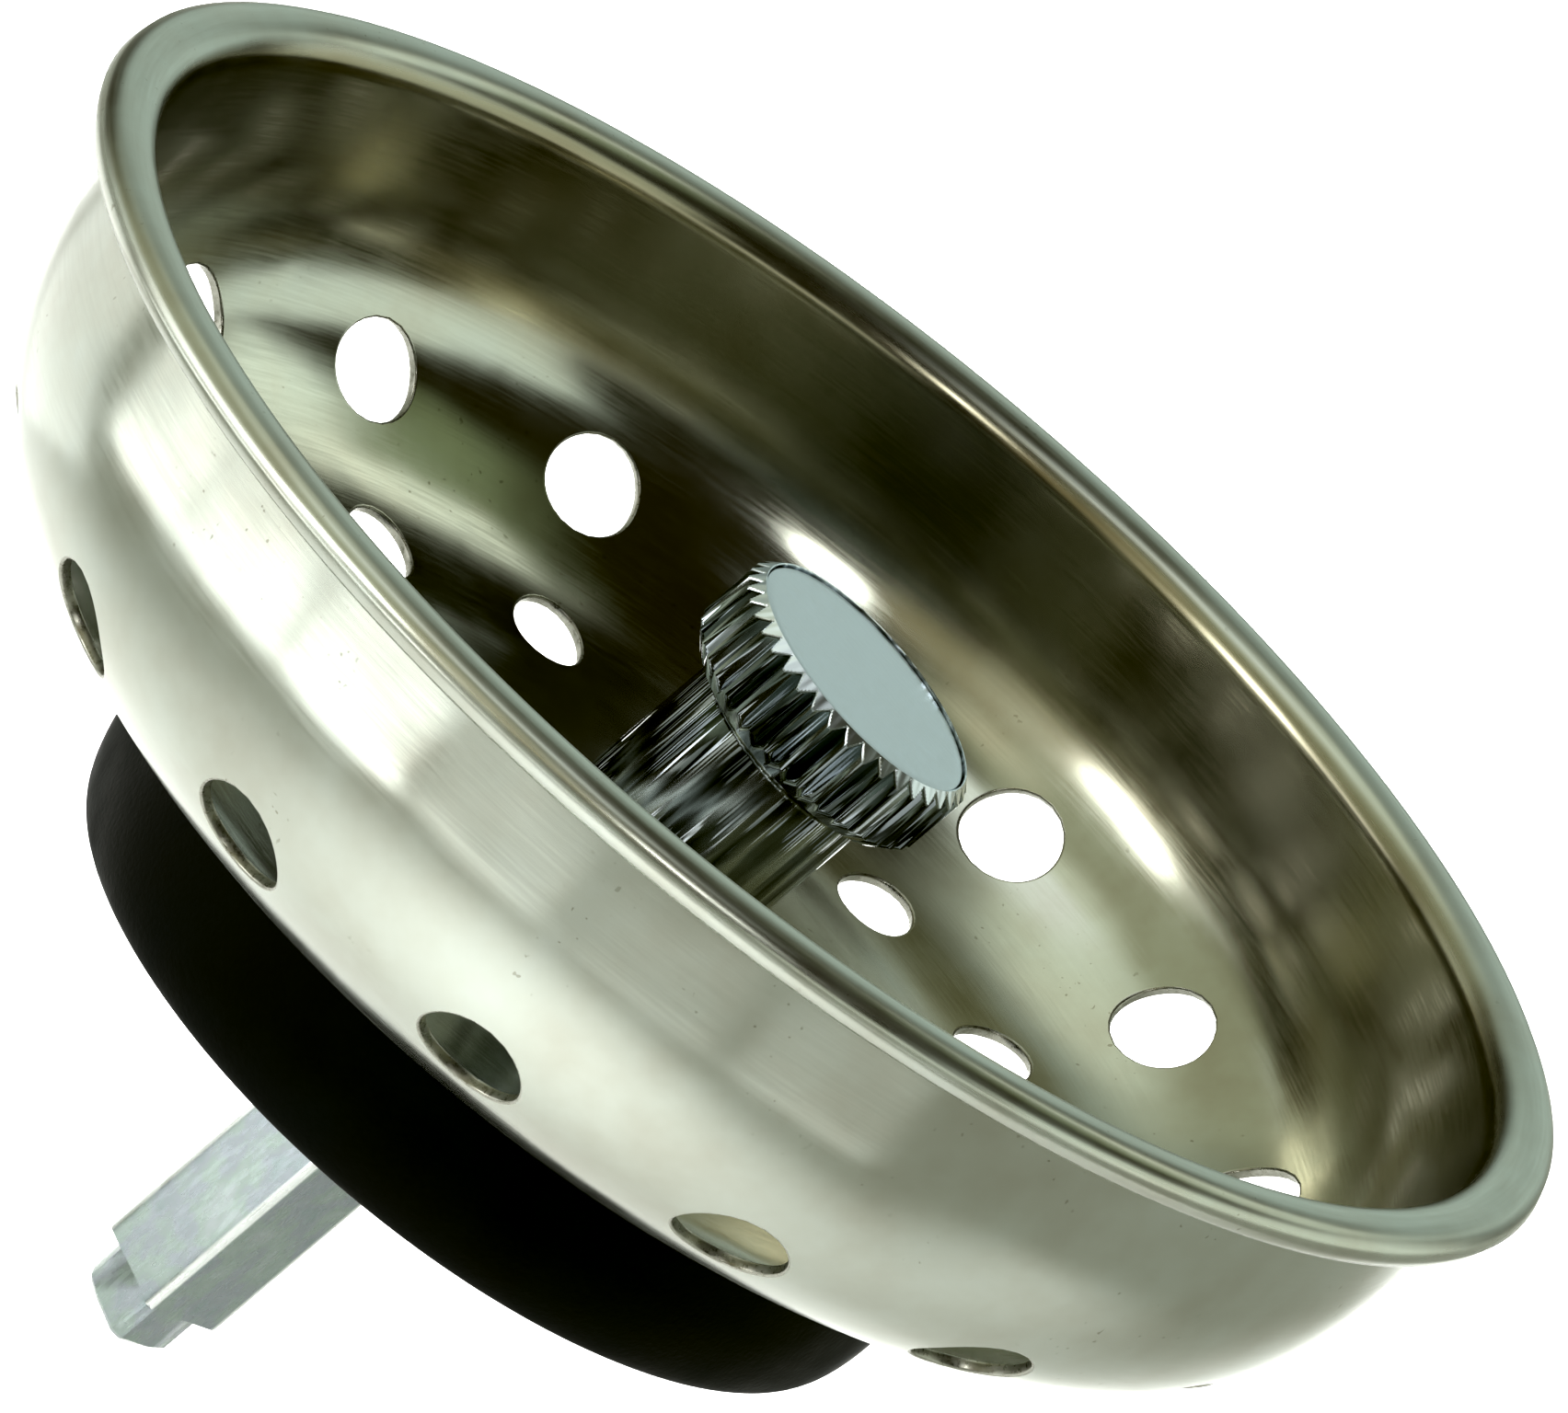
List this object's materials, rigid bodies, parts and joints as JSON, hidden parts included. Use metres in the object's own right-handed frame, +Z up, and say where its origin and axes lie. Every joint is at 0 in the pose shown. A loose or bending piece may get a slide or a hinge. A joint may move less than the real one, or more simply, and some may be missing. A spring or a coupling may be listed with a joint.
{
  "type": "sink basket strainer",
  "caption": "Round pressed-steel basket strainer for a kitchen sink drain, with a rolled rim, drain holes, a rubber stopper under the floor, and a knurled knob on a loose square post.",
  "frame": {"origin": "centre of the plane that the rolled rim rests on, on the basket's axis", "axes": "+Z up along the basket's axis, from the stopper towards the open top; the spindle leans towards +X at rest"},
  "size_m": [0.0826, 0.0826, 0.0503],
  "materials": {
    "basket_steel": "satin, with drawing marks round the axis",
    "stopper_rubber": "matte black",
    "washer_steel": "plain stamped",
    "knob_chrome": "bright plated",
    "cap_aluminium": "satin",
    "screw_steel": "plain",
    "spring_steel": "plain",
    "post_zinc": "zinc plated, satin"
  },
  "bodies": {
    "basket": {"basket": "basket_steel", "stopper": "stopper_rubber"},
    "rocker": {"floor_washer": "washer_steel", "stopper_washer": "washer_steel"},
    "spindle": {"knob": "knob_chrome", "knob_cap": "cap_aluminium", "knob_screw": "screw_steel", "lock_washer": "spring_steel", "post": "post_zinc"}
  },
  "joints": [
    {"name": "spindle_rock", "type": "hinge", "parent": "basket", "child": "rocker", "pos_m": [0, 0, -0.01789], "axis": [0, -1, 0], "range_deg": [0, 18]},
    {"name": "knob_turn", "type": "hinge", "parent": "rocker", "child": "spindle", "pos_m": [0, 0, -0.01789], "axis": [0.1564, 0, 0.9877], "continuous": true}
  ]
}
